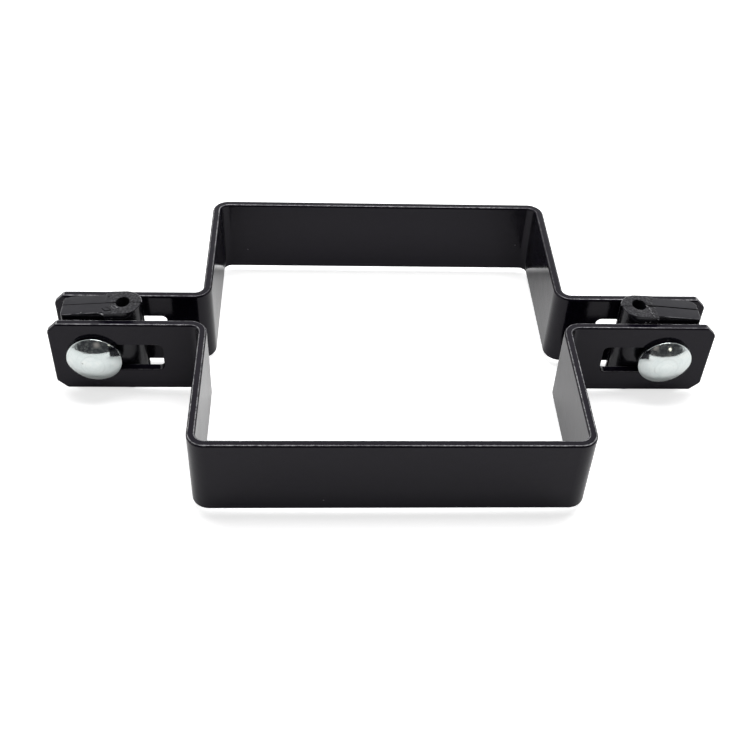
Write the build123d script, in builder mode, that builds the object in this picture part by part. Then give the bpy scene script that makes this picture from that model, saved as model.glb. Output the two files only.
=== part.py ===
from build123d import *
from math import cos, radians, tan
import os

# Two-part clamp bracket for a square post. Two hat-shaped straps, folded from flat steel strip, close
# round the post. Between each pair of lugs a moulded clip grips one vertical wire of a mesh panel, and
# a carriage bolt with a washer and a nut pulls the lugs together.
# Frame: origin at the centre of the post opening, on the plane the bracket rests on. +X runs along the
# lugs, +Y to the rear strap (the nut side), +Z up. All lengths are in millimetres.

# ---- post opening ----
post_side = 120.0                # square post that the straps close round
post_clearance = 2.0             # free space on the left and on the right of the post
crown_depth = 56.7               # from a lug's inner face to the crown's inner face

# ---- strip ----
strip_width = 30.0
strip_thickness = 3.0
bend_radius = 3.0                # inside radius of all four folds
strip_edge_radius = 0.8          # long arrises, softened by the powder coat

# ---- lugs ----
slot_inner_land = 13.3           # from the side wall's outer face to the slot
slot_length = 30.0
slot_end_land = 9.0              # from the slot to the end of the lug
slot_corner_radius = 2.0
slot_edge_radius = 0.3
lug_corner_chamfer = 3.5
lug_corner_softening = 1.5       # rounding where the chamfer meets the straight edges

# ---- wire clips ----
wire_diameter = 5.0
clip_head_width = 12.6           # the head fills the gap between the lugs
clip_head_edge_radius = 1.4
clip_body_width = 10.6
clip_body_edge_radius = 0.5
clip_proud = 2.7                 # how far the head stands past the straps, above and below
clip_nose_reach = 16.8           # bolt axis to the nose
clip_wire_reach = 10.5           # bolt axis to the wire's axis
clip_outer_reach = 11.0          # bolt axis to the outer end of the body
clip_fall = 5.0                  # degrees that the top and the bottom fall away, outwards from the hole
clip_slit = 0.6                  # thin gap that lets the clip close on the wire
clip_rear_corner_radius = 3.5    # outer end, rear half
clip_front_corner_radius = 1.2   # outer end, front half

# ---- carriage bolts ----
shank_diameter = 7.8
head_diameter = 19.6
head_height = 4.9
head_rim = 1.5                   # thickness of the head at its edge
neck_side = 8.4                  # square neck
neck_past_lug = 0.4              # the neck runs through the lug and this much further
thread_past_nut = 3.3
bolt_end_chamfer = 0.8

# ---- washers and nuts ----
washer_diameter = 16.0
washer_thickness = 1.6
washer_clearance = 0.3           # radial, round the shank
washer_edge_chamfer = 0.2
nut_across_flats = 13.0
nut_height = 6.5
nut_clearance = 0.1              # radial, round the shank
nut_corner_chamfer = 1.1         # how far the coned ends come in at the hexagon's corners
nut_corner_drop = 0.6            # how far along the bolt the cone reaches
nut_bore_chamfer = 0.5

# ---- how the pieces sit ----
neck_play = 1.6                  # free height above and below a centred neck in its slot
clip_bolt_clearance = 0.25       # radial, between the shank and the clip's cross hole
clip_neck_clearance = 0.4        # from the bolt's square neck to the step where the clip's head ends
left_bolt_slack = 1.8            # from the left bolt's neck to the outer end of its slot
right_bolt_slack = 3.1
left_nut_turn = 8.0              # degrees that each nut happens to be turned
right_nut_turn = 23.0

# ---- worked out from the sizes above ----
opening_half = post_side / 2 + post_clearance
lug_inner = clip_head_width / 2
lug_outer = lug_inner + strip_thickness
crown_inner = lug_inner + crown_depth
wall_outer = opening_half + strip_thickness
slot_height = neck_side + 2 * neck_play
slot_inner = wall_outer + slot_inner_land
slot_outer = slot_inner + slot_length
lug_end = slot_outer + slot_end_land
clip_half_height = clip_proud + strip_width / 2
strap_middle = clip_half_height
clip_cross_hole = shank_diameter + 2 * clip_bolt_clearance
clip_step_reach = neck_side / 2 + clip_neck_clearance
nut_seat = lug_outer + washer_thickness
neck_length = strip_thickness + neck_past_lug
bolt_end = nut_seat + nut_height + thread_past_nut

os.makedirs("parts", exist_ok=True)


def save(builder, name):
    """Labels a finished piece and writes its file."""
    builder.part.label = name
    export_step(builder.part, f"parts/{name}.step")


# ---------------------------------------------------------------------------------------------------
# Straps: one strip each, folded four times into lug, side wall, crown, side wall and lug.
# ---------------------------------------------------------------------------------------------------
def make_strap(name, turn):
    """The rear strap is drawn in place, with no turn. The front one is the same, turned 180 degrees."""
    plan = Plane.XY.offset(strap_middle).rotated((0, 0, turn))
    elevation = Plane(origin=plan.origin, x_dir=plan.x_dir, z_dir=plan.y_dir)
    outer_bend_radius = bend_radius + strip_thickness
    with BuildPart() as strap:
        with BuildSketch(plan):
            with BuildLine():
                post_side_line = FilletPolyline(
                    (-lug_end, lug_inner),
                    (-opening_half, lug_inner),
                    (-opening_half, crown_inner),
                    (opening_half, crown_inner),
                    (opening_half, lug_inner),
                    (lug_end, lug_inner),
                    radius=(outer_bend_radius, bend_radius, bend_radius, outer_bend_radius),
                )
                offset(post_side_line, strip_thickness, side=Side.LEFT)
            make_face()
        extrude(amount=strip_width / 2, both=True)

        # clipped corners at the end of each lug
        crosswise = strap.edges().filter_by(Axis.Y)
        chamfer(crosswise.filter_by(lambda edge: abs(edge.center().X) > slot_outer), lug_corner_chamfer)
        crosswise = strap.edges().filter_by(Axis.Y)
        fillet(crosswise.filter_by(lambda edge: abs(edge.center().X) > slot_outer), lug_corner_softening)

        # the long arrises, all the way round both faces of the strip: the edges that stay are the folds'
        # own lines and those that run through the thickness
        folds = strap.edges().filter_by(Axis.Z).filter_by(lambda edge: abs(edge.center().X) < slot_inner)
        crosswise = strap.edges().filter_by(Axis.Y).filter_by(lambda edge: abs(edge.center().X) > slot_outer)
        fillet(strap.edges() - folds - crosswise, strip_edge_radius)

        # one long slot through each lug, with softened edges of its own
        with BuildSketch(elevation):
            with Locations((slot_inner + slot_length / 2, 0), (-slot_inner - slot_length / 2, 0)):
                RectangleRounded(slot_length, slot_height, slot_corner_radius)
        extrude(amount=crown_depth, mode=Mode.SUBTRACT)
        fillet(strap.edges(Select.LAST).filter_by(Axis.Y, reverse=True), slot_edge_radius)
    save(strap, name)


make_strap("front_strap", 180)
make_strap("rear_strap", 0)


# ---------------------------------------------------------------------------------------------------
# Wire clips: one moulding each. A round-nosed head holds the wire, and a narrower body takes the bolt.
# Top and bottom are level round the wire hole and fall away from there, head and body in one plane.
# The moulding is slit from the wire hole to its outer end. The right clip points along +X, and the left
# one is the same moulding turned over about Y.
# ---------------------------------------------------------------------------------------------------
def make_clip(name, side, bolt_x):
    plan = Plane(origin=(bolt_x, 0, strap_middle), x_dir=(side, 0, 0), z_dir=(0, 0, side))
    elevation = Plane(origin=plan.origin, x_dir=plan.x_dir, z_dir=plan.y_dir)
    nose_radius = clip_head_width / 2
    fall_start = -clip_wire_reach + wire_diameter / 2
    outer_half_height = clip_half_height - (clip_outer_reach - fall_start) * tan(radians(clip_fall))

    # the side view, from which both the head and the body take their height
    with BuildPart() as side_view:
        with BuildSketch(elevation):
            with BuildLine():
                Polyline(
                    (-clip_nose_reach, clip_half_height),
                    (fall_start, clip_half_height),
                    (clip_outer_reach, outer_half_height),
                    (clip_outer_reach, -outer_half_height),
                    (fall_start, -clip_half_height),
                    (-clip_nose_reach, -clip_half_height),
                    close=True,
                )
            make_face()
        extrude(amount=clip_head_width, both=True)

    with BuildPart() as head:
        with BuildSketch(plan):
            with BuildLine():
                nose = CenterArc((-clip_nose_reach + nose_radius, 0), nose_radius, 90, 180)
                Polyline(nose @ 1, (-clip_step_reach, -nose_radius), (-clip_step_reach, nose_radius), nose @ 0)
            make_face()
        extrude(amount=clip_half_height, both=True)
        add(side_view.part, mode=Mode.INTERSECT)
        rims = head.faces().filter_by(lambda face: abs(face.normal_at().Z) > 0.9).edges()
        fillet(rims - rims.filter_by(Axis.Y), clip_head_edge_radius)

    with BuildPart() as clip:
        with BuildSketch(plan) as footprint:
            with Locations((-clip_step_reach - clip_body_edge_radius, 0)):
                Rectangle(
                    clip_step_reach + clip_body_edge_radius + clip_outer_reach,
                    clip_body_width,
                    align=(Align.MIN, Align.CENTER),
                )
            fillet(footprint.vertices().group_by(Axis.X)[-1].sort_by(Axis.Y)[-1], clip_rear_corner_radius)
            fillet(footprint.vertices().group_by(Axis.X)[-1].sort_by(Axis.Y)[0], clip_front_corner_radius)
        extrude(amount=clip_half_height, both=True)
        add(side_view.part, mode=Mode.INTERSECT)
        rims = clip.faces().filter_by(lambda face: abs(face.normal_at().Z) > 0.9).edges()
        inner = rims.filter_by(Axis.Y).filter_by(lambda edge: side * (edge.center().X - bolt_x) < 0)
        fillet(rims - inner, clip_body_edge_radius)

        # the head, the wire hole, the slit and the cross hole for the bolt
        add(head.part)
        with BuildSketch(plan):
            with Locations((-clip_wire_reach, 0)):
                Circle(wire_diameter / 2)
                Rectangle(2 * clip_nose_reach, clip_slit, align=(Align.MIN, Align.CENTER))
        extrude(amount=clip_half_height, both=True, mode=Mode.SUBTRACT)
        with BuildSketch(elevation):
            Circle(clip_cross_hole / 2)
        extrude(amount=clip_head_width, both=True, mode=Mode.SUBTRACT)
    save(clip, name)


# ---------------------------------------------------------------------------------------------------
# Carriage bolts: a domed head on the front lug, and a square neck that cannot turn in the slot.
# ---------------------------------------------------------------------------------------------------
def make_bolt(name, bolt_x):
    shank_radius = shank_diameter / 2
    bolt_axis = Axis((bolt_x, 0, strap_middle), (0, 1, 0))
    half_section = Plane(origin=bolt_axis.position, x_dir=(0, 1, 0), z_dir=(1, 0, 0))
    under_head = Plane(origin=(bolt_x, -lug_outer, strap_middle), x_dir=(1, 0, 0), z_dir=(0, 1, 0))
    with BuildPart() as bolt:
        with BuildSketch(half_section):
            with BuildLine():
                apex = (-lug_outer - head_height, 0)
                rim = (-lug_outer - head_rim, head_diameter / 2)
                TangentArc(apex, rim, tangent=(0, 1))
                Polyline(
                    rim,
                    (-lug_outer, head_diameter / 2),
                    (-lug_outer, shank_radius),
                    (bolt_end - bolt_end_chamfer, shank_radius),
                    (bolt_end, shank_radius - bolt_end_chamfer),
                    (bolt_end, 0),
                    apex,
                )
            make_face()
        revolve(axis=bolt_axis)
        with BuildSketch(under_head):
            Rectangle(neck_side, neck_side)
        extrude(amount=neck_length)
    save(bolt, name)


# ---------------------------------------------------------------------------------------------------
# Washers and hexagon nuts, behind the rear lug.
# ---------------------------------------------------------------------------------------------------
def make_washer(name, bolt_x):
    seat = Plane(origin=(bolt_x, lug_outer, strap_middle), x_dir=(-1, 0, 0), z_dir=(0, 1, 0))
    with BuildPart() as washer:
        with BuildSketch(seat):
            Circle(washer_diameter / 2)
            Circle(shank_diameter / 2 + washer_clearance, mode=Mode.SUBTRACT)
        extrude(amount=washer_thickness)
        rims = washer.edges().filter_by(GeomType.CIRCLE).sort_by(SortBy.RADIUS)
        chamfer(rims[-2:], washer_edge_chamfer)
    save(washer, name)


def make_nut(name, bolt_x, turn):
    bolt_axis = Axis((bolt_x, 0, strap_middle), (0, 1, 0))
    half_section = Plane(origin=bolt_axis.position, x_dir=(0, 1, 0), z_dir=(1, 0, 0))
    seat = Plane(origin=(bolt_x, nut_seat, strap_middle), x_dir=(-1, 0, 0), z_dir=(0, 1, 0))
    nut_top = nut_seat + nut_height
    corner_radius = nut_across_flats / 2 / cos(radians(30))
    bore_radius = shank_diameter / 2 + nut_clearance
    with BuildPart() as nut:
        # a round blank with coned ends, cut to a hexagon, so that the six corners come out rounded
        with BuildSketch(half_section):
            with BuildLine():
                Polyline(
                    (nut_seat, bore_radius + nut_bore_chamfer),
                    (nut_seat, corner_radius - nut_corner_chamfer),
                    (nut_seat + nut_corner_drop, corner_radius),
                    (nut_top - nut_corner_drop, corner_radius),
                    (nut_top, corner_radius - nut_corner_chamfer),
                    (nut_top, bore_radius + nut_bore_chamfer),
                    (nut_top - nut_bore_chamfer, bore_radius),
                    (nut_seat + nut_bore_chamfer, bore_radius),
                    close=True,
                )
            make_face()
        revolve(axis=bolt_axis)
        with BuildSketch(seat):
            RegularPolygon(nut_across_flats / 2, 6, major_radius=False, rotation=turn)
        extrude(amount=nut_height, mode=Mode.INTERSECT)
    save(nut, name)


for side_name, side, slack, turn in (
    ("left", -1, left_bolt_slack, left_nut_turn),
    ("right", 1, right_bolt_slack, right_nut_turn),
):
    bolt_x = side * (slot_outer - slack - neck_side / 2)
    make_clip(f"{side_name}_wire_clip", side, bolt_x)
    make_bolt(f"{side_name}_carriage_bolt", bolt_x)
    make_washer(f"{side_name}_washer", bolt_x)
    make_nut(f"{side_name}_hex_nut", bolt_x, turn)
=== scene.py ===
import bmesh
import bpy
import random
from math import asin, atan2, cos, hypot, pi, radians, sin
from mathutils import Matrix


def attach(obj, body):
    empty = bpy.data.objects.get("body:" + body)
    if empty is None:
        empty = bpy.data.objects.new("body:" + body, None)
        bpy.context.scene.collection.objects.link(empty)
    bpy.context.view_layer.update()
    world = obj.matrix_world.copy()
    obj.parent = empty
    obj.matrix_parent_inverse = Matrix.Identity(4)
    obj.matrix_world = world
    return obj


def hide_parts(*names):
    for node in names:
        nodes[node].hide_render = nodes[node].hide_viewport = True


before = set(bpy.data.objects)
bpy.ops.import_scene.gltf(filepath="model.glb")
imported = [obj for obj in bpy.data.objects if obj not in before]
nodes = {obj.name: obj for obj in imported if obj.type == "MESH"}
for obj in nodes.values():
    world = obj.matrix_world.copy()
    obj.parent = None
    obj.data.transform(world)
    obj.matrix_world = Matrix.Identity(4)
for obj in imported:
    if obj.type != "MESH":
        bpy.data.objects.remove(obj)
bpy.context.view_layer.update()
mm = 0.001


# ---- Straps ----------------------------------------------------------------------------------------
# Two hat-shaped straps, each cut from flat steel strip, punched with a slot in each lug and folded four
# times. They are powder coated in gloss black, with a pale painted highlight along the long arrises.
coat_black = (0.0048, 0.0038, 0.0084, 1.0)
coat_black_deep = (0.0034, 0.0028, 0.0064, 1.0)
# the pale grey of the painted highlight along the arrises
arris_highlight_grey = (0.52, 0.52, 0.53, 1.0)
coat_dust = (0.20, 0.20, 0.21, 1.0)
coat_gleam = (0.95, 0.91, 1.0, 1.0)


def add_node(tree, kind, sockets=None, **settings):
    """Adds one shader node. A socket is given either a value or the output that feeds it."""
    made = tree.nodes.new("ShaderNode" + kind)
    for name, value in settings.items():
        setattr(made, name, value)
    for name, value in (sockets or {}).items():
        if isinstance(value, bpy.types.NodeSocket):
            tree.links.new(value, made.inputs[name])
        else:
            made.inputs[name].default_value = value
    return made


def add_ramp(tree, source, stops):
    """Adds a colour ramp from a list of (position, grey or colour)."""
    ramp = add_node(tree, "ValToRGB", {"Fac": source})
    points = ramp.color_ramp.elements
    while len(points) < len(stops):
        points.new(1.0)
    for point, (position, shade) in zip(points, stops):
        point.position = position
        point.color = shade if isinstance(shade, tuple) else (shade, shade, shade, 1.0)
    return ramp.outputs["Color"]


def add_math(tree, operation, first, second=0.0, third=0.0):
    """Adds one sum on two or three numbers."""
    return add_node(tree, "Math", {0: first, 1: second, 2: third}, operation=operation).outputs[0]


def add_blend(tree, share, first, second):
    """Mixes two colours."""
    sockets = {"Factor": share, "A": first, "B": second}
    return add_node(tree, "Mix", sockets, data_type="RGBA").outputs["Result"]


def add_noise(tree, where, scale, detail, **sockets):
    """Adds a noise that varies from place to place."""
    noise = add_node(tree, "TexNoise", {"Vector": where, "Scale": scale, "Detail": detail, **sockets})
    return noise.outputs["Fac"]


def add_bump(tree, relief, strength, distance):
    """Gives a material's surface a fine relief."""
    bump = add_node(tree, "Bump", {"Height": relief, "Strength": strength, "Distance": distance})
    tree.links.new(bump.outputs["Normal"], tree.nodes["Principled BSDF"].inputs["Normal"])


def start_material(name):
    """A new material, with its node tree and its shader."""
    material = bpy.data.materials.new(name)
    material.use_nodes = True
    return material, material.node_tree, material.node_tree.nodes["Principled BSDF"]


powder_coat, tree, shader = start_material("powder_coat")
shader.inputs["IOR"].default_value = 1.30
shader.inputs["Specular Tint"].default_value = coat_gleam
place = add_node(tree, "TexCoord")
where = place.outputs["Object"]
facing = add_node(tree, "SeparateXYZ", {"Vector": place.outputs["Normal"]})
lean = add_math(tree, "ABSOLUTE", facing.outputs["Z"])

# the coat's own colour drifts a little from place to place
drift = add_noise(tree, where, 60.0, 3.0)
coat = add_blend(tree, drift, coat_black_deep, coat_black)

# a painted highlight on the arrises: a pale line only where the surface turns from the strip's edge
# towards its face, at the tilt that mirrors the light overhead, in dashes that come and go along it
arris = add_ramp(tree, lean, [(0.0, 0.0), (0.80, 0.0), (0.90, 1.0), (0.975, 1.0), (0.995, 0.0)])
dashes = add_noise(tree, where, 520.0, 4.0, Roughness=0.7)
dash = add_ramp(tree, dashes, [(0.38, 0.16), (0.50, 0.44), (0.62, 0.80)])
stretches = add_noise(tree, where, 22.0, 1.0)
stretch = add_ramp(tree, stretches, [(0.36, 0.25), (0.60, 1.0)])
painted_highlight = add_math(tree, "MULTIPLY", add_math(tree, "MULTIPLY", arris, dash), stretch)
coat_with_highlight = add_blend(tree, painted_highlight, coat, arris_highlight_grey)

# a few specks of dust caught in the coat
grains = add_node(tree, "TexVoronoi", {"Vector": where, "Scale": 230.0, "Randomness": 1.0})
grain = add_ramp(tree, grains.outputs["Distance"], [(0.0, 1.0), (0.035, 1.0), (0.055, 0.0)])
rarity = add_node(tree, "SeparateColor", {"Color": grains.outputs["Color"]}).outputs["Red"]
speck = add_math(tree, "MULTIPLY", grain, add_math(tree, "GREATER_THAN", rarity, 0.90))
tree.links.new(add_blend(tree, speck, coat_with_highlight, coat_dust), shader.inputs["Base Color"])

# the gloss drifts too, over a faint orange peel
gloss = add_node(tree, "MapRange", {"Value": drift, "From Min": 0.3, "From Max": 0.7,
                                    "To Min": 0.11, "To Max": 0.16})
tree.links.new(gloss.outputs["Result"], shader.inputs["Roughness"])
peel = add_noise(tree, where, 520.0, 1.0)
swell = add_noise(tree, where, 110.0, 1.0)
relief = add_math(tree, "MULTIPLY_ADD", speck, 0.4, add_math(tree, "MULTIPLY_ADD", peel, 0.35, swell))
add_bump(tree, relief, 0.12, 0.5 * mm)

for strap in (nodes["front_strap"], nodes["rear_strap"]):
    strap.data.materials.clear()
    strap.data.materials.append(powder_coat)


# ---- Wire clips ------------------------------------------------------------------------------------
# One black plastic moulding at each end, slit from its wire hole to its outer end so that the bolt can
# squeeze it on the wire. The mould's two halves meet along the nose, where a fine ledge is left.
# Lengths are counted from the bolt: towards the post for the head, outwards for the body.
bolt_x = {"left": -102.3 * mm, "right": 101.0 * mm}
clip_top = 35.4 * mm
clip_middle = clip_top / 2
head_half = 6.3 * mm
nose_reach = 16.8 * mm
nose_ledge = 0.4 * mm
front_rim = 3.0 * mm
front_rim_share = 0.364
rear_rim = 0.6 * mm
rear_rim_share = 0.9
rim_bands = 12
half_overlap = 0.02 * mm
groove = 0.3 * mm
step_reach = 4.6 * mm
stub = 0.8 * mm
stub_drop = 0.9 * mm
body_half = 5.3 * mm
body_rim = 0.4 * mm
rear_corner = 3.0 * mm
front_corner = 1.2 * mm
outer_reach = 11.0 * mm
wire_reach = 10.5 * mm
wire_hole_rim = 0.2 * mm
cross_hole_radius = 4.15 * mm
overshoot = 1 * mm
hair = 0.01 * mm


def make_active(piece):
    """Selects a piece alone, so that the next operator acts on it."""
    bpy.ops.object.select_all(action="DESELECT")
    bpy.context.view_layer.objects.active = piece
    piece.select_set(True)


def start_edit(piece, kind="FACE"):
    """Opens a piece for editing, alone, with nothing selected."""
    make_active(piece)
    bpy.ops.object.mode_set(mode="EDIT")
    bpy.ops.mesh.select_mode(type=kind)
    bpy.ops.mesh.select_all(action="DESELECT")


def end_edit():
    bpy.ops.object.mode_set(mode="OBJECT")


def pick(piece, kind, test):
    """In edit mode, selects the vertices or edges that pass a test on their middle and themselves."""
    bpy.ops.mesh.select_mode(type=kind)
    bpy.ops.mesh.select_all(action="DESELECT")
    mesh = bmesh.from_edit_mesh(piece.data)
    for item in mesh.verts if kind == "VERT" else mesh.edges:
        middle = item.co if kind == "VERT" else (item.verts[0].co + item.verts[1].co) / 2
        if test(middle, item):
            item.select_set(True)
    mesh.select_flush_mode()
    bmesh.update_edit_mesh(piece.data)


def rise(edge):
    """How far an edge climbs from one end to the other."""
    return abs(edge.verts[0].co.z - edge.verts[1].co.z)


def settle(piece, name):
    """Applies a new piece's place, turn and size to its mesh, and names it."""
    make_active(piece)
    bpy.ops.object.transform_apply(location=True, rotation=True, scale=True)
    piece.name = name
    piece.data.name = name
    return piece


def add_block(name, low, high):
    """A block between two corners."""
    bpy.ops.object.select_all(action="DESELECT")
    middle = [(a + b) / 2 for a, b in zip(low, high)]
    bpy.ops.mesh.primitive_cube_add(size=1.0, location=middle)
    block = bpy.context.object
    block.scale = [b - a for a, b in zip(low, high)]
    return settle(block, name)


def add_rod(name, radius, low, high, middle, axis="Z", sides=64):
    """A rod along Z or Y."""
    bpy.ops.object.select_all(action="DESELECT")
    centre, turn = (middle[0], middle[1], (low + high) / 2), (0, 0, 0)
    if axis == "Y":
        centre, turn = (middle[0], (low + high) / 2, middle[1]), (radians(-90), 0, 0)
    bpy.ops.mesh.primitive_cylinder_add(vertices=sides, radius=radius, depth=high - low,
                                        location=centre, rotation=turn)
    return settle(bpy.context.object, name)


def combine(piece, tool, how):
    """Joins a tool's shape to a piece, cuts it out, or keeps what they share, and removes the tool. What
    the tool cuts gets the tool's own material."""
    step = piece.modifiers.new("combine", "BOOLEAN")
    step.operation = how
    step.object = tool
    step.solver = "EXACT"
    step.material_mode = "TRANSFER"
    make_active(piece)
    bpy.ops.object.modifier_apply(modifier=step.name)
    bpy.data.objects.remove(tool)


def join(name, pieces):
    """Makes several meshes one object."""
    bpy.ops.object.select_all(action="DESELECT")
    for piece in pieces:
        piece.select_set(True)
    bpy.context.view_layer.objects.active = pieces[0]
    bpy.ops.object.join()
    pieces[0].name = name
    pieces[0].data.name = name
    return pieces[0]


def add_clip_half(name, side, reach, rim, straight_share):
    """Half of the clip's head: -1 is the front one and 1 the rear one. Its rim is rounded off by so much
    at the nose, and by a share of that along the straight side."""
    centre = -reach + head_half
    half = add_rod(name, head_half, 0, clip_top, (centre, 0), sides=96)
    start_edit(half)
    bpy.ops.mesh.select_all(action="SELECT")
    bpy.ops.mesh.bisect(plane_co=(centre, 0, 0), plane_no=(1, 0, 0), use_fill=True, clear_outer=True)
    pick(half, "VERT", lambda at, vert: at.x > centre - hair)
    bpy.ops.transform.translate(value=(-step_reach - centre, 0, 0))
    for n in range(rim_bands + 1):
        low, high = (centre - head_half * k / rim_bands for k in (n, n - 1))
        if n == 0:
            high = -step_reach - hair
        pick(half, "EDGE", lambda at, edge: low - 0.001 * mm < at.x < high and rise(edge) < 1 * mm)
        share = sin(pi / 2 * n / rim_bands) ** 2
        bpy.ops.transform.edge_bevelweight(value=straight_share + (1 - straight_share) * share)
    end_edit()
    rounding = half.modifiers.new("rim", "BEVEL")
    rounding.limit_method = "WEIGHT"
    rounding.offset_type = "OFFSET"
    rounding.width = rim
    rounding.segments = 7
    bpy.ops.object.modifier_apply(modifier=rounding.name)
    start_edit(half)
    bpy.ops.mesh.select_all(action="SELECT")
    bpy.ops.mesh.bisect(plane_co=(0, -side * half_overlap, 0), plane_no=(0, side, 0),
                        use_fill=True, clear_inner=True)
    if side < 0:
        # the front half's cut edge is eased, so that the two halves meet in a fine groove
        pick(half, "EDGE", lambda at, edge: at.x < -wire_reach and all(
            abs(vert.co.y) < 0.05 * mm for vert in edge.verts))
        bpy.ops.mesh.bevel(offset=groove, segments=1)
    end_edit()
    return half


clip = add_clip_half("front_half", -1, nose_reach, front_rim, front_rim_share)
rear_half = add_clip_half("rear_half", 1, nose_reach + nose_ledge, rear_rim, rear_rim_share)
combine(clip, rear_half, "UNION")

# the body is let into the head's end by a stub that slopes down below its top
body = add_block("body", (-step_reach - stub, -body_half, 0), (outer_reach, body_half, clip_top))
start_edit(body)
bpy.ops.mesh.select_all(action="SELECT")
bpy.ops.mesh.bisect(plane_co=(-step_reach + hair, 0, 0), plane_no=(1, 0, 0))
for up in (1, -1):
    pick(body, "VERT", lambda at, vert: at.x < -step_reach - 0.1 * mm and (at.z - clip_middle) * up > 0)
    bpy.ops.transform.translate(value=(0, 0, -up * stub_drop))
for side, radius, steps in ((1, rear_corner, 12), (-1, front_corner, 6)):
    pick(body, "EDGE", lambda at, edge: at.x > outer_reach - hair and at.y * side > body_half - hair
         and rise(edge) > 10 * mm)
    bpy.ops.mesh.bevel(offset=radius, segments=steps, profile=0.5)
pick(body, "EDGE", lambda at, edge: at.x > -step_reach + 0.02 * mm and rise(edge) < 1 * mm)
bpy.ops.mesh.bevel(offset=body_rim, segments=4, profile=0.5)
end_edit()
combine(clip, body, "UNION")

# top and bottom fall away outwards: each is turned down a little at each of four lines
fall_lines = [-14 * mm, -11.3 * mm, -6.9 * mm, -3.9 * mm]
fall_step = radians(1.2)
start_edit(clip)
for n, line in enumerate(fall_lines):
    bpy.ops.mesh.select_all(action="SELECT")
    bpy.ops.mesh.bisect(plane_co=(line, 0, 0), plane_no=(1, 0, 0))
    sunk = sum((line - earlier) * sin(fall_step) for earlier in fall_lines[:n])
    for up in (1, -1):
        pick(clip, "VERT", lambda at, vert: at.x > line + hair and (at.z - clip_middle) * up > 13 * mm)
        bpy.ops.transform.rotate(value=-up * fall_step, orient_axis="Y",
                                 center_override=(line, 0, clip_middle + up * (clip_middle - sunk)))
end_edit()

# the bolt's hole goes across it
cross_reach = 7 * mm
cross_hole = add_rod("cross_hole", cross_hole_radius, -cross_reach, cross_reach, (0, clip_middle), axis="Y")
combine(clip, cross_hole, "DIFFERENCE")

# the plastic is matt and stippled on the head's flat top and smooth elsewhere
plastic_black = (0.0056, 0.0054, 0.0078, 1.0)
plastic_worn_black = (0.0100, 0.0098, 0.0126, 1.0)
plastic_pit = (0.002, 0.002, 0.002, 1.0)
# the pale grey of the painted highlight on the thin rims
rim_highlight_grey = (0.19, 0.19, 0.20, 1.0)
stipple_black = (0.0, 0.0, 0.0, 1.0)
stipple_grey = (0.042, 0.042, 0.045, 1.0)
plastic_gleam = (0.95, 0.94, 1.0, 1.0)
stipple_end = 97.0 * mm
rim_highlight_start = 98.5 * mm
rear_start = 0.3 * mm
moulded_plastic, tree, shader = start_material("moulded_plastic")
shader.inputs["IOR"].default_value = 1.40
shader.inputs["Specular Tint"].default_value = plastic_gleam
place = add_node(tree, "TexCoord")
where = place.outputs["Object"]
spot = add_node(tree, "SeparateXYZ", {"Vector": where})
facing = add_node(tree, "SeparateXYZ", {"Vector": place.outputs["Normal"]})
lean = add_math(tree, "ABSOLUTE", facing.outputs["Z"])
outward = add_math(tree, "ABSOLUTE", spot.outputs["X"])
ragged = add_noise(tree, where, 900.0, 2.0)
headland = add_math(tree, "LESS_THAN", add_math(tree, "MULTIPLY_ADD", ragged, 1.6 * mm, outward), stipple_end)
headland = add_math(tree, "MULTIPLY", headland, add_ramp(tree, lean, [(0.955, 0.0), (0.985, 1.0)]))
cloud = add_noise(tree, where, 240.0, 4.0, Roughness=0.6)
black = add_ramp(tree, cloud, [(0.35, plastic_black), (0.68, plastic_worn_black)])
grain = add_noise(tree, where, 1300.0, 2.0)
grain = add_ramp(tree, grain, [(0.38, stipple_black), (0.50, plastic_black), (0.64, stipple_grey)])
black = add_blend(tree, headland, black, grain)

# a few small pits, and a painted highlight: a pale line on the thin arrises at the outer end and all along the
# rear
pits = add_node(tree, "TexVoronoi", {"Vector": where, "Scale": 330.0, "Randomness": 1.0})
pit = add_ramp(tree, pits.outputs["Distance"], [(0.0, 1.0), (0.05, 1.0), (0.09, 0.0)])
pit_pick = add_node(tree, "SeparateColor", {"Color": pits.outputs["Color"]}).outputs["Green"]
pitted = add_math(tree, "MULTIPLY", pit, add_math(tree, "GREATER_THAN", pit_pick, 0.90))
skin = add_blend(tree, pitted, black, plastic_pit)
thin_rim = add_ramp(tree, lean, [(0.0, 0.0), (0.42, 0.0), (0.60, 1.0), (0.86, 1.0), (0.95, 0.0)])
sharp_side = add_math(tree, "MAXIMUM", add_math(tree, "GREATER_THAN", outward, rim_highlight_start),
                      add_math(tree, "GREATER_THAN", spot.outputs["Y"], rear_start))
fray = add_noise(tree, where, 420.0, 3.0)
frayed = add_ramp(tree, fray, [(0.36, 0.15), (0.60, 1.0)])
rim_highlight = add_math(tree, "MULTIPLY", add_math(tree, "MULTIPLY", thin_rim, sharp_side), frayed)
tree.links.new(add_blend(tree, rim_highlight, skin, rim_highlight_grey), shader.inputs["Base Color"])

sheen = add_ramp(tree, lean, [(0.0, 0.20), (0.90, 0.23), (0.97, 0.28), (1.0, 0.40)])
sheen = add_math(tree, "MULTIPLY_ADD", add_math(tree, "SUBTRACT", cloud, 0.5), 0.16, sheen)
tree.links.new(sheen, shader.inputs["Roughness"])
stipple = add_noise(tree, where, 1050.0, 2.0)
stipple = add_math(tree, "MULTIPLY", add_math(tree, "MULTIPLY_ADD", headland, 1.3, 0.15), stipple)
slow = add_noise(tree, where, 150.0, 2.0)
relief = add_math(tree, "MULTIPLY_ADD", pitted, -0.7, add_math(tree, "ADD", stipple, slow))
add_bump(tree, relief, 0.40, 0.4 * mm)

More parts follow.
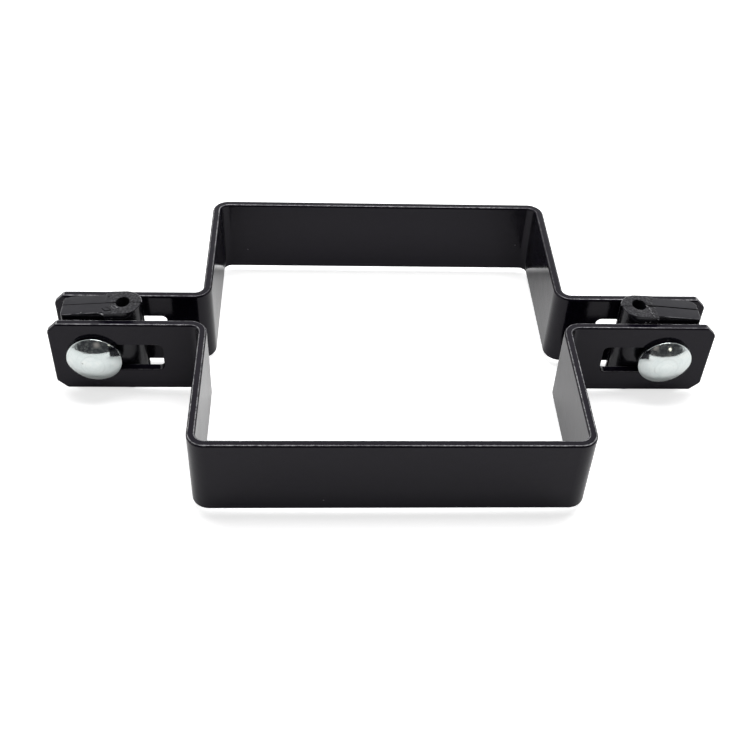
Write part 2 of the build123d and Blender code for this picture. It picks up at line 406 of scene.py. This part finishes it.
# where flash was torn off, the plastic has gone pale
torn_dark = (0.020, 0.020, 0.024, 1.0)
torn_pale = (0.28, 0.28, 0.29, 1.0)
torn_plastic, tree, shader = start_material("torn_plastic")
shader.inputs["IOR"].default_value = 1.42
shader.inputs["Roughness"].default_value = 0.5
where = add_node(tree, "TexCoord").outputs["Object"]
fleck = add_noise(tree, where, 1500.0, 2.0)
pale = add_ramp(tree, fleck, [(0.36, torn_dark), (0.58, torn_pale)])
tree.links.new(pale, shader.inputs["Base Color"])
add_bump(tree, fleck, 0.5, 0.2 * mm)

# inside the wire hole, the slit, the gashes and the groove between the mould's halves the plastic is dull, and
# painted darker as shade in these recesses
recess_shade_black = (0.0014, 0.0013, 0.0022, 1.0)
recess_shade_grey = (0.0034, 0.0033, 0.0046, 1.0)
recess_shade_plastic, tree, shader = start_material("recess_shade_plastic")
shader.inputs["Roughness"].default_value = 0.6
shader.inputs["Specular IOR Level"].default_value = 0.2
where = add_node(tree, "TexCoord").outputs["Object"]
drag = add_noise(tree, where, 700.0, 3.0)
dark = add_ramp(tree, drag, [(0.40, recess_shade_black), (0.65, recess_shade_grey)])
tree.links.new(dark, shader.inputs["Base Color"])
add_bump(tree, drag, 0.3, 0.3 * mm)

# the cuts have left an empty material slot, which goes; the groove along the nose gets the dull material with
# the painted shade
groove_start = -wire_reach - 1.5 * mm
groove_front = -0.36 * mm
groove_rear = -0.04 * mm
clip.data.materials.clear()
for plastic in (moulded_plastic, recess_shade_plastic):
    clip.data.materials.append(plastic)
for face in clip.data.polygons:
    in_groove = face.center.x < groove_start and groove_front < face.center.y < groove_rear
    face.material_index = 1 if in_groove else 0

# each clip came out of the mould a little differently: where its wire hole lies and how oval it is, the
# way its slit wanders, in millimetres, how much of the rear flank is missing, and where its outer end stops
hole_shift = {"left": 0.15 * mm, "right": 0.75 * mm}
hole_half = {"left": (2.35 * mm, 2.70 * mm), "right": (2.5 * mm, 2.80 * mm)}
slit_path = {"left": [(-10.5, -0.35), (3.0, -0.70), (12.0, -1.0)],
             "right": [(-10.5, 0.45), (7.0, 0.45), (12.0, -0.15)]}
slit_width = {"left": 0.30 * mm, "right": 0.58 * mm}
slit_wobble = 0.05
slit_steps = 15
flank_short = {"left": 0.8 * mm, "right": 0.3 * mm}
flank_start = 4.2 * mm
end_long = {"left": -0.4 * mm, "right": 0.2 * mm}
end_length = 3.2 * mm
random.seed(11)


def add_slit_blade(path, width):
    """A blade that follows a path of (x, y) in millimetres, with slightly rough flanks."""
    first, last = path[0][0], path[-1][0]
    blade = add_block("slit", (first * mm, -width / 2, -overshoot),
                      (last * mm, width / 2, clip_top + overshoot))
    start_edit(blade)
    for n in range(slit_steps + 1):
        x = first + (last - first) * n / slit_steps
        if 0 < n < slit_steps:
            bpy.ops.mesh.select_all(action="SELECT")
            bpy.ops.mesh.bisect(plane_co=(x * mm, 0, 0), plane_no=(1, 0, 0))
        leg = 0 if x <= path[1][0] else 1
        (x_0, y_0), (x_1, y_1) = path[leg], path[leg + 1]
        shift = (y_0 + (y_1 - y_0) * (x - x_0) / (x_1 - x_0)) * mm
        for flank in (1, -1):
            pick(blade, "VERT", lambda at, vert: abs(at.x - x * mm) < hair
                 and abs(at.y - flank * width / 2) < 0.001 * mm)
            wobble = random.uniform(-slit_wobble, slit_wobble) * mm
            bpy.ops.transform.translate(value=(0, shift + wobble, 0))
    end_edit()
    return blade


clips = {}
for side in ("left", "right"):
    make_active(clip)
    bpy.ops.object.duplicate()
    moulding = bpy.context.object
    start_edit(moulding)
    pick(moulding, "VERT", lambda at, vert: at.y > flank_start and at.x > -step_reach + 0.05 * mm)
    bpy.ops.transform.translate(value=(0, -flank_short[side], 0))
    pick(moulding, "VERT", lambda at, vert: at.x > outer_reach - end_length)
    bpy.ops.transform.translate(value=(end_long[side], 0, 0))
    end_edit()
    half_x, half_y = hole_half[side]
    hole = add_rod("hole", 1.0, -overshoot, clip_top + overshoot, (0, 0))
    hole.scale = (half_x, half_y, 1.0)
    hole.location = (-wire_reach, hole_shift[side], 0)
    settle(hole, "hole")
    blade = add_slit_blade(slit_path[side], slit_width[side])
    for tool in (hole, blade):
        tool.data.materials.append(recess_shade_plastic)
        combine(moulding, tool, "DIFFERENCE")
    # the mouth of the wire hole is eased
    start_edit(moulding)
    pick(moulding, "EDGE", lambda at, edge: edge.calc_length() < 1 * mm and all(
        abs(vert.co.z - clip_middle) > 16 * mm
        and abs(hypot((vert.co.x + wire_reach) / half_x, (vert.co.y - hole_shift[side]) / half_y) - 1) < 0.02
        for vert in edge.verts))
    bpy.ops.mesh.bevel(offset=wire_hole_rim, segments=2, profile=0.5)
    bpy.ops.mesh.select_all(action="SELECT")
    bpy.ops.mesh.normals_make_consistent(inside=False)
    end_edit()
    if side == "left":
        # the same moulding turned over
        moulding.rotation_euler = (0, pi, 0)
        moulding.location = (0, 0, clip_top)
        settle(moulding, "turned")
    moulding.location = (bolt_x[side], 0, 0)
    clips[side] = settle(moulding, side + "_clip_moulding")
bpy.data.objects.remove(clip)


def cut_gash(piece, start, end, width, depth):
    """Cuts a V-shaped gash into a piece along a level line, given as (x, y, z) in millimetres."""
    bpy.ops.object.select_all(action="DESELECT")
    middle = [(a + b) / 2 * mm for a, b in zip(start, end)]
    heading = atan2(end[1] - start[1], end[0] - start[0])
    bpy.ops.mesh.primitive_cylinder_add(vertices=4, radius=1.0, depth=1.0, location=middle,
                                        rotation=(0, pi / 2, heading))
    blade = bpy.context.object
    blade.scale = (depth * mm, width / 2 * mm, hypot(end[0] - start[0], end[1] - start[1]) * mm)
    blade.data.materials.append(recess_shade_plastic)
    combine(piece, settle(blade, "gash_blade"), "DIFFERENCE")


# each gash in the left clip's top: its two ends, its width and its depth
gashes = [
    ((-98.6, -3.1, 35.15), (-97.3, -4.55, 35.1), 0.40, 0.55),
    ((-97.5, -4.6, 35.1), (-95.2, -4.15, 35.2), 0.50, 0.60),
    ((-97.5, -2.5, 35.15), (-96.3, -2.9, 35.15), 0.26, 0.35),
    ((-96.6, -3.3, 35.2), (-95.5, -3.05, 35.2), 0.26, 0.35),
    ((-97.3, 3.0, 35.15), (-96.7, 3.15, 35.15), 0.50, 0.45)]
for start, end, width, depth in gashes:
    cut_gash(clips["left"], start, end, width, depth)

# rough crumbs of flash, left where the mould's inserts met: along each path, so many of such a size, in
# millimetres
crumb_spread = 0.15
random.seed(5)
crumb_paths = {
    "right": [
        ([(93.1, 0.3, 35.22), (93.5, -0.5, 35.22), (94.0, -1.7, 35.21), (93.9, -3.5, 35.21),
          (94.4, -4.6, 35.18), (94.8, -5.7, 35.0)], 26, 0.16),
        ([(93.6, -0.9, 35.22), (94.6, -2.6, 35.2), (95.1, -4.7, 35.18)], 9, 0.12),
        ([(96.2, -6.35, 34.4), (96.3, -6.35, 34.3)], 2, 0.26),
        ([(91.8, -6.35, 33.1), (92.5, -6.35, 33.1)], 4, 0.20),
        ([(93.3, -6.35, 33.1), (93.7, -6.35, 33.5)], 3, 0.18),
        ([(94.2, -6.0, 34.9), (94.5, -6.1, 34.8)], 2, 0.17),
        ([(96.4, -6.3, 32.4), (96.5, -6.3, 32.0)], 2, 0.16)],
    "left": [
        ([(-94.2, -1.9, 35.24), (-93.4, -2.8, 35.25), (-92.6, -3.3, 35.28)], 10, 0.15),
        ([(-95.2, -2.3, 35.2), (-93.8, -3.9, 35.22)], 5, 0.11),
        ([(-105.6, -4.85, 34.6), (-105.4, -4.85, 34.6)], 2, 0.13),
        ([(-95.1, -6.3, 33.2), (-94.7, -6.35, 33.4)], 2, 0.15)],
}
for side in ("left", "right"):
    bits = []
    for path, count, size in crumb_paths[side]:
        for n in range(count):
            along = n / count * (len(path) - 1)
            leg = int(along)
            spot = [a + (b - a) * (along - leg) + random.uniform(-crumb_spread, crumb_spread) * (axis < 2)
                    for axis, (a, b) in enumerate(zip(path[leg], path[leg + 1]))]
            bpy.ops.object.select_all(action="DESELECT")
            bpy.ops.mesh.primitive_ico_sphere_add(subdivisions=1, radius=size * mm,
                                                  location=[a * mm for a in spot])
            bit = bpy.context.object
            bit.scale = (random.uniform(0.7, 1.7), random.uniform(0.7, 1.4), random.uniform(0.45, 0.9))
            bit.rotation_euler = (0, 0, random.uniform(0, pi))
            settle(bit, "crumb")
            start_edit(bit, "VERT")
            bpy.ops.mesh.select_all(action="SELECT")
            bpy.ops.transform.vertex_random(offset=0.3 * size * mm, seed=n)
            end_edit()
            bits.append(bit)
    if side == "left":
        # the tooth of flash in the corner where the body meets the head
        bpy.ops.object.select_all(action="DESELECT")
        bpy.ops.mesh.primitive_cone_add(vertices=6, radius1=0.40 * mm, radius2=0.06 * mm, depth=2.6 * mm,
                                        location=(-98.75 * mm, -5.8 * mm, 34.75 * mm),
                                        rotation=(0, pi / 2, radians(157)))
        bits.append(settle(bpy.context.object, "tooth"))
    for bit in bits:
        bit.data.materials.append(torn_plastic)
    join(side + "_clip_moulding", [clips[side]] + bits)

for side, moulding in clips.items():
    make_active(moulding)
    bpy.ops.object.shade_smooth_by_angle(angle=radians(32))
    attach(moulding, "root")
    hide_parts(side + "_wire_clip")


# ---- Carriage bolts --------------------------------------------------------------------------------
# M8 x 30 carriage bolts, cold headed from steel and zinc plated. The square neck under the low domed
# head sits in the front lug's slot, and the rolled thread runs out past the nut.
bolt_height = 17.7 * mm
lug_face = 9.3 * mm
head_radius = 9.6 * mm
head_depth = 4.9 * mm
head_edge = 1.5 * mm
head_rim = 0.22 * mm
neck_half = 4.2 * mm
neck_corner = 0.7 * mm
neck_chamfer = 0.4 * mm
neck_end = -5.9 * mm
shank_radius = 3.8 * mm
shank_end = 20.7 * mm
thread_start = -1.3 * mm
thread_pitch = 1.25 * mm
thread_crest = 3.9 * mm
thread_root = 3.25 * mm
thread_turns = 21
thread_steps = 48
thread_tip = 3.1 * mm
blank_radius = 4.2 * mm


def start_point(name, at):
    """A single point, ready for editing, from which a section is drawn."""
    bpy.ops.object.select_all(action="DESELECT")
    bpy.ops.mesh.primitive_plane_add(size=1 * mm, location=(0, 0, 0))
    made = settle(bpy.context.object, name)
    start_edit(made, "VERT")
    bpy.ops.mesh.select_all(action="SELECT")
    bpy.ops.mesh.merge(type="CENTER")
    bpy.ops.mesh.select_all(action="SELECT")
    bpy.ops.transform.translate(value=at)
    return made


def draw_to(points, start):
    """Extrudes the last point of a section along a list of (y, radius)."""
    y, radius = start
    for next_y, next_radius in points:
        move = (0, next_y - y, next_radius - radius)
        bpy.ops.mesh.extrude_vertices_move(TRANSFORM_OT_translate={"value": move})
        y, radius = next_y, next_radius


def turn_section(steps):
    """Spins a drawn section round the Y axis into a closed body."""
    bpy.ops.mesh.select_all(action="SELECT")
    bpy.ops.mesh.spin(steps=steps, angle=2 * pi, center=(0, 0, 0), axis=(0, 1, 0))
    bpy.ops.mesh.select_all(action="SELECT")
    bpy.ops.mesh.remove_doubles(threshold=0.004 * mm)
    bpy.ops.mesh.select_all(action="SELECT")
    bpy.ops.mesh.normals_make_consistent(inside=False)
    end_edit()


# the head, a low dome, and the plain core that the neck and the thread are added to
crown_rise = head_depth - head_edge
dome_radius = (head_radius ** 2 + crown_rise ** 2) / (2 * crown_rise)
dome_turn = asin(head_radius / dome_radius)
apex = -lug_face - head_depth
bolt = start_point("bolt", (0, apex, 0))
bpy.ops.mesh.spin(steps=28, angle=dome_turn, center=(0, apex + dome_radius, 0), axis=(1, 0, 0))
draw_to([(-lug_face, head_radius), (-lug_face, shank_radius), (thread_start, shank_radius),
         (thread_start + 0.5 * mm, thread_root), (shank_end - 1.5 * mm, thread_root - 0.1 * mm),
         (shank_end - 1.5 * mm, 0)], (-lug_face - head_edge, head_radius))
pick(bolt, "VERT", lambda at, vert: at.z > head_radius - hair)
bpy.ops.mesh.bevel(offset=head_rim, offset_type="WIDTH", segments=4, affect="VERTICES")
turn_section(128)

neck = add_block("neck", (-neck_half, -lug_face - 0.2 * mm, -neck_half), (neck_half, neck_end, neck_half))
start_edit(neck)
pick(neck, "EDGE", lambda at, edge: abs(abs(at.x) - neck_half) < hair and abs(abs(at.z) - neck_half) < hair)
bpy.ops.mesh.bevel(offset=neck_corner, segments=4, profile=0.5)
pick(neck, "EDGE", lambda at, edge: at.y > neck_end - hair)
bpy.ops.mesh.bevel(offset=neck_chamfer, segments=2, profile=0.5)
end_edit()

# the thread: one pitch of its section, carried along a helix, then cut to length with a chamfered blank
thread = start_point("thread", (0, thread_start - 2 * thread_pitch, thread_root))
y = thread_start - 2 * thread_pitch
draw_to([(y + 0.07 * thread_pitch, thread_root), (y + 0.5 * thread_pitch - 0.06 * thread_pitch, thread_crest),
         (y + 0.5 * thread_pitch + 0.06 * thread_pitch, thread_crest), (y + 0.93 * thread_pitch, thread_root),
         (y + thread_pitch, thread_root)], (y, thread_root))
end_edit()
helix = thread.modifiers.new("helix", "SCREW")
helix.axis = "Y"
helix.angle = 2 * pi
helix.screw_offset = thread_pitch
helix.iterations = thread_turns
helix.steps = helix.render_steps = thread_steps
bpy.ops.object.modifier_apply(modifier=helix.name)
start_edit(thread)
bpy.ops.mesh.select_all(action="SELECT")
bpy.ops.mesh.remove_doubles(threshold=0.004 * mm)
middle_y = (thread_start + shank_end) / 2
for end in (-1, 1):
    pick(thread, "EDGE", lambda at, edge: len(edge.link_faces) == 1 and (at.y - middle_y) * end > 0)
    bpy.ops.mesh.edge_face_add()
bpy.ops.mesh.select_all(action="SELECT")
bpy.ops.mesh.quads_convert_to_tris()
bpy.ops.mesh.normals_make_consistent(inside=False)
end_edit()
blank = start_point("blank", (0, thread_start, 0))
draw_to([(thread_start, thread_root + 0.05 * mm), (thread_start + 1.0 * mm, blank_radius),
         (shank_end - 1.0 * mm, blank_radius), (shank_end, thread_tip), (shank_end, 0)], (thread_start, 0))
turn_section(96)
combine(thread, blank, "INTERSECT")
join("bolt", [bolt, neck, thread])

# zinc plate, blotched, with a few dull stains
zinc_grey = (0.66, 0.72, 0.71, 1.0)
zinc_pale = (0.735, 0.785, 0.775, 1.0)
zinc_bright = (0.785, 0.815, 0.795, 1.0)
zinc_stain = (0.40, 0.42, 0.40, 1.0)
die_grey = (0.48, 0.52, 0.51, 1.0)
die_radius = 4.3 * mm
zinc, tree, shader = start_material("bright_zinc")
shader.inputs["Metallic"].default_value = 1.0
where = add_node(tree, "TexCoord").outputs["Object"]
blotch = add_noise(tree, where, 330.0, 5.0, Roughness=0.62)
plate = add_ramp(tree, blotch, [(0.30, zinc_grey), (0.55, zinc_pale), (0.75, zinc_bright)])
stain = add_node(tree, "TexVoronoi", {"Vector": where, "Scale": 210.0, "Randomness": 1.0})
spot = add_ramp(tree, stain.outputs["Distance"], [(0.0, 1.0), (0.04, 0.8), (0.10, 0.0)])
spot_pick = add_node(tree, "SeparateColor", {"Color": stain.outputs["Color"]}).outputs["Blue"]
spots = add_math(tree, "MULTIPLY", spot, add_math(tree, "GREATER_THAN", spot_pick, 0.78))
stained = add_blend(tree, spots, plate, zinc_stain)

# the header's die has left faint rings about each bolt's axis
split = add_node(tree, "SeparateXYZ", {"Vector": where})
right_side = add_math(tree, "GREATER_THAN", split.outputs["X"], 0.0)
axis_x = add_math(tree, "MULTIPLY_ADD", right_side, bolt_x["right"] - bolt_x["left"], bolt_x["left"])
across = add_math(tree, "SUBTRACT", split.outputs["X"], axis_x)
up = add_math(tree, "SUBTRACT", split.outputs["Z"], bolt_height)
reach = add_math(tree, "MULTIPLY_ADD", up, up, add_math(tree, "MULTIPLY", across, across))
reach = add_math(tree, "SQRT", reach)
rings = add_node(tree, "TexNoise", {"W": reach, "Scale": 1400.0, "Detail": 2.0}, noise_dimensions="1D")
rings = rings.outputs["Fac"]
ring = add_ramp(tree, rings, [(0.34, 0.22), (0.42, 0.0)])
die_edge = add_math(tree, "ABSOLUTE", add_math(tree, "SUBTRACT", reach, die_radius))
die_edge = add_node(tree, "MapRange", {"Value": die_edge, "From Min": 0.06 * mm, "From Max": 0.26 * mm,
                                       "To Min": 1.0, "To Max": 0.0})
patchy = add_ramp(tree, blotch, [(0.42, 0.0), (0.60, 0.5)])
broken = add_math(tree, "MULTIPLY", die_edge.outputs["Result"], patchy)
ring = add_math(tree, "MAXIMUM", ring, broken)
tree.links.new(add_blend(tree, ring, stained, die_grey), shader.inputs["Base Color"])

# its gloss drifts, over fine grain, soft dents and scratches
matte = add_node(tree, "MapRange", {"Value": blotch, "From Min": 0.3, "From Max": 0.72,
                                    "To Min": 0.06, "To Max": 0.13})
tree.links.new(matte.outputs["Result"], shader.inputs["Roughness"])
grain = add_noise(tree, where, 2600.0, 2.0)
dents = add_noise(tree, where, 420.0, 2.0)
stretched = add_node(tree, "Mapping", {"Vector": where, "Rotation": (0.0, 0.6, 0.0), "Scale": (1.0, 1.0, 14.0)})
scratches = add_noise(tree, stretched.outputs["Vector"], 260.0, 3.0)
relief = add_math(tree, "MULTIPLY_ADD", grain, 0.14, dents)
relief = add_math(tree, "MULTIPLY_ADD", scratches, 0.22, relief)
relief = add_math(tree, "MULTIPLY_ADD", rings, 0.10, relief)
add_bump(tree, relief, 0.09, 0.3 * mm)


def fit_both_ends(master, piece_name, node_name, turns):
    """Copies a piece that was made on the Y axis to both bolts, each with its own mesh, and dresses it."""
    for side in ("left", "right"):
        make_active(master)
        bpy.ops.object.duplicate()
        copy = bpy.context.object
        copy.rotation_euler = (0, radians(turns[side]), 0)
        copy.location = (bolt_x[side], 0, bolt_height)
        settle(copy, side + "_" + piece_name)
        copy.data.materials.append(zinc)
        bpy.ops.object.shade_smooth_by_angle(angle=radians(35))
        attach(copy, "root")
        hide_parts(side + "_" + node_name)
    bpy.data.objects.remove(master)


fit_both_ends(bolt, "bolt", "carriage_bolt", {"left": 0.0, "right": 0.0})


# ---- Washers ---------------------------------------------------------------------------------------
# Flat M8 washers, punched from zinc-plated sheet. The punch rounds one rim and leaves the other sharp.
washer_radius = 8.0 * mm
washer_bore = 4.2 * mm
washer_back = 10.9 * mm
washer_rim = 0.35 * mm
washer = start_point("washer", (0, lug_face, washer_bore))
draw_to([(lug_face, washer_radius), (washer_back, washer_radius), (washer_back, washer_bore),
         (lug_face, washer_bore)], (lug_face, washer_bore))
pick(washer, "VERT", lambda at, vert: at.y > washer_back - hair)
bpy.ops.mesh.bevel(offset=washer_rim, offset_type="WIDTH", segments=4, affect="VERTICES")
turn_section(96)
fit_both_ends(washer, "flat_washer", "washer", {"left": 0.0, "right": 0.0})


# ---- Nuts ------------------------------------------------------------------------------------------
# Zinc-plated M8 hexagon nuts, pulled up behind the rear lugs. Both ends are coned, so that the hexagon's
# corners come out rounded, and the tapped hole opens with a small countersink.
nut_flats = 6.5 * mm
nut_far = 17.4 * mm
nut_corner = nut_flats / cos(radians(30))
cone_in = 1.1 * mm
cone_deep = 0.6 * mm
tapped_radius = 3.98 * mm
countersink = 0.5 * mm
mouth_radius = tapped_radius + countersink
flank_corner = 0.25 * mm
nut = start_point("nut", (0, washer_back, mouth_radius))
draw_to([(washer_back, nut_corner - cone_in), (washer_back + cone_deep, nut_corner),
         (nut_far - cone_deep, nut_corner), (nut_far, nut_corner - cone_in), (nut_far, mouth_radius),
         (nut_far - countersink, tapped_radius), (washer_back + countersink, tapped_radius),
         (washer_back, mouth_radius)], (washer_back, mouth_radius))
turn_section(96)
hexagon = add_rod("hexagon", nut_corner, washer_back - overshoot, nut_far + overshoot, (0, 0),
                  axis="Y", sides=6)
start_edit(hexagon)
pick(hexagon, "EDGE", lambda at, edge: abs(edge.verts[0].co.y - edge.verts[1].co.y) > 5 * mm)
bpy.ops.mesh.bevel(offset=flank_corner, segments=3, profile=0.5)
end_edit()
# this leaves an empty material slot ahead of the zinc, so the nuts' faces still show plain pale grey
combine(nut, hexagon, "INTERSECT")
fit_both_ends(nut, "nut", "hex_nut", {"left": 8.0, "right": 23.0})


# ---- Floor -----------------------------------------------------------------------------------------
# A plain white table top. It is wide enough to reach past the view on every side.
floor_half = 3.0
floor_white = (0.90, 0.90, 0.90, 1.0)
full_white = (1.0, 1.0, 1.0, 1.0)
floor_lift = 0.72
mirrored_lift = 0.15
bpy.ops.object.select_all(action="DESELECT")
bpy.ops.mesh.primitive_plane_add(size=2 * floor_half, location=(0, 0, 0))
floor = bpy.context.object
floor.name = "floor"
white_floor, tree, shader = start_material("white_floor")
shader.inputs["Base Color"].default_value = floor_white
shader.inputs["Roughness"].default_value = 0.9
shader.inputs["Specular IOR Level"].default_value = 0.0
shader.inputs["Emission Color"].default_value = full_white
path = add_node(tree, "LightPath")
mirrored = add_math(tree, "MAXIMUM", path.outputs["Is Glossy Ray"], path.outputs["Is Transmission Ray"])
lift = add_math(tree, "MULTIPLY", mirrored, mirrored_lift)
lift = add_math(tree, "MULTIPLY_ADD", path.outputs["Is Camera Ray"], floor_lift, lift)
tree.links.new(lift, shader.inputs["Emission Strength"])
floor.data.materials.append(white_floor)


# ---- Light -----------------------------------------------------------------------------------------
# A plain white room: a narrow softbox straight overhead, a wide weak one behind, and even light all
# round. A dark mottled card stands in front, where the bright bolt heads mirror it.
room_seen = 1.0
room_fill = 0.12
world = bpy.data.worlds.new("white_room")
bpy.context.scene.world = world
world.use_nodes = True
tree = world.node_tree
path = add_node(tree, "LightPath")
seen = add_math(tree, "MAXIMUM", path.outputs["Is Camera Ray"],
                add_math(tree, "MAXIMUM", path.outputs["Is Glossy Ray"], path.outputs["Is Transmission Ray"]))
level = add_node(tree, "MapRange", {"Value": seen, "To Min": room_fill, "To Max": room_seen})
room = tree.nodes["Background"]
room.inputs["Color"].default_value = full_white
tree.links.new(level.outputs["Result"], room.inputs["Strength"])


def add_softbox(name, width, depth, place, lean, brightness):
    """A flat lamp that leans back towards the object; brightness is what a mirror would show of it."""
    lamp = bpy.data.lights.new(name, "AREA")
    lamp.shape = "RECTANGLE"
    lamp.size = width
    lamp.size_y = depth
    lamp.energy = brightness * width * depth * pi
    softbox = bpy.data.objects.new(name, lamp)
    bpy.context.scene.collection.objects.link(softbox)
    softbox.location = place
    softbox.rotation_euler = (radians(lean), 0, 0)
    return softbox


add_softbox("overhead_softbox", 0.71, 0.29, (0.055, 0.12, 1.0), -7, 8.5)
rear_softbox = add_softbox("rear_softbox", 2.4, 0.6, (0.0, 0.62, 1.0), -32, 2.7)
rear_softbox.visible_glossy = False

# the card itself
card_y = -0.45
card_half = 1.15
card_height = 0.90
card_black = (0.022, 0.022, 0.026, 1.0)
card_dark = (0.055, 0.056, 0.060, 1.0)
card_grey = (0.120, 0.118, 0.115, 1.0)
card_pale = (0.230, 0.220, 0.210, 1.0)
card_haze = (0.29, 0.26, 0.245, 1.0)
card_lamp = (2.6, 2.5, 2.1, 1.0)
bpy.ops.object.select_all(action="DESELECT")
bpy.ops.mesh.primitive_plane_add(size=1.0, location=(0.0, card_y, card_height / 2),
                                 rotation=(radians(90), 0, 0))
card = bpy.context.object
card.scale = (2 * card_half, card_height, 1.0)
settle(card, "dark_card")
card_paint, tree, shader = start_material("dark_card")
tree.nodes.remove(shader)
where = add_node(tree, "TexCoord").outputs["Object"]
mottle = add_noise(tree, where, 14.0, 6.0, Roughness=0.62)
murk = add_ramp(tree, mottle, [(0.34, card_black), (0.50, card_dark), (0.62, card_grey), (0.74, card_pale)])


def add_patch(under, centre, inner, outer, colour):
    """Lays a soft round patch of another colour on the card."""
    gap = add_node(tree, "VectorMath", {0: where, 1: centre}, operation="DISTANCE").outputs["Value"]
    share = add_node(tree, "MapRange", {"Value": gap, "From Min": inner, "From Max": outer,
                                        "To Min": 1.0, "To Max": 0.0})
    return add_blend(tree, share.outputs["Result"], under, colour)


murk = add_patch(murk, (-0.075, card_y, 0.205), 0.025, 0.095, card_haze)
murk = add_patch(murk, (0.249, card_y, 0.178), 0.020, 0.034, card_lamp)
glow = add_node(tree, "Emission", {"Color": murk})
fade = add_math(tree, "ABSOLUTE", add_node(tree, "SeparateXYZ", {"Vector": where}).outputs["X"])
fade = add_math(tree, "MULTIPLY_ADD", add_math(tree, "SUBTRACT", mottle, 0.5), 0.9, fade)
fade = add_node(tree, "MapRange", {"Value": fade, "From Min": 0.55, "From Max": 1.10})
clear = add_node(tree, "BsdfTransparent")
paint = add_node(tree, "MixShader", {0: fade.outputs["Result"], 1: glow.outputs["Emission"],
                                     2: clear.outputs["BSDF"]})
tree.links.new(paint.outputs["Shader"], tree.nodes["Material Output"].inputs["Surface"])
card.data.materials.append(card_paint)
card.visible_camera = False
card.visible_diffuse = False
card.visible_shadow = False
card.visible_transmission = False


# ---- Camera ----------------------------------------------------------------------------------------
# It looks down on the bracket from in front, a little to the left of its middle.
lens = bpy.data.cameras.new("camera")
lens.sensor_width = 36.0
lens.lens = 52.89
camera = bpy.data.objects.new("camera", lens)
bpy.context.scene.collection.objects.link(camera)
camera.location = (-0.024164, -0.298541, 0.283028)
camera.rotation_euler = (radians(46.651), radians(-2.2426), radians(-2.0199))
bpy.context.scene.camera = camera

bpy.context.scene.view_settings.view_transform = "Standard"
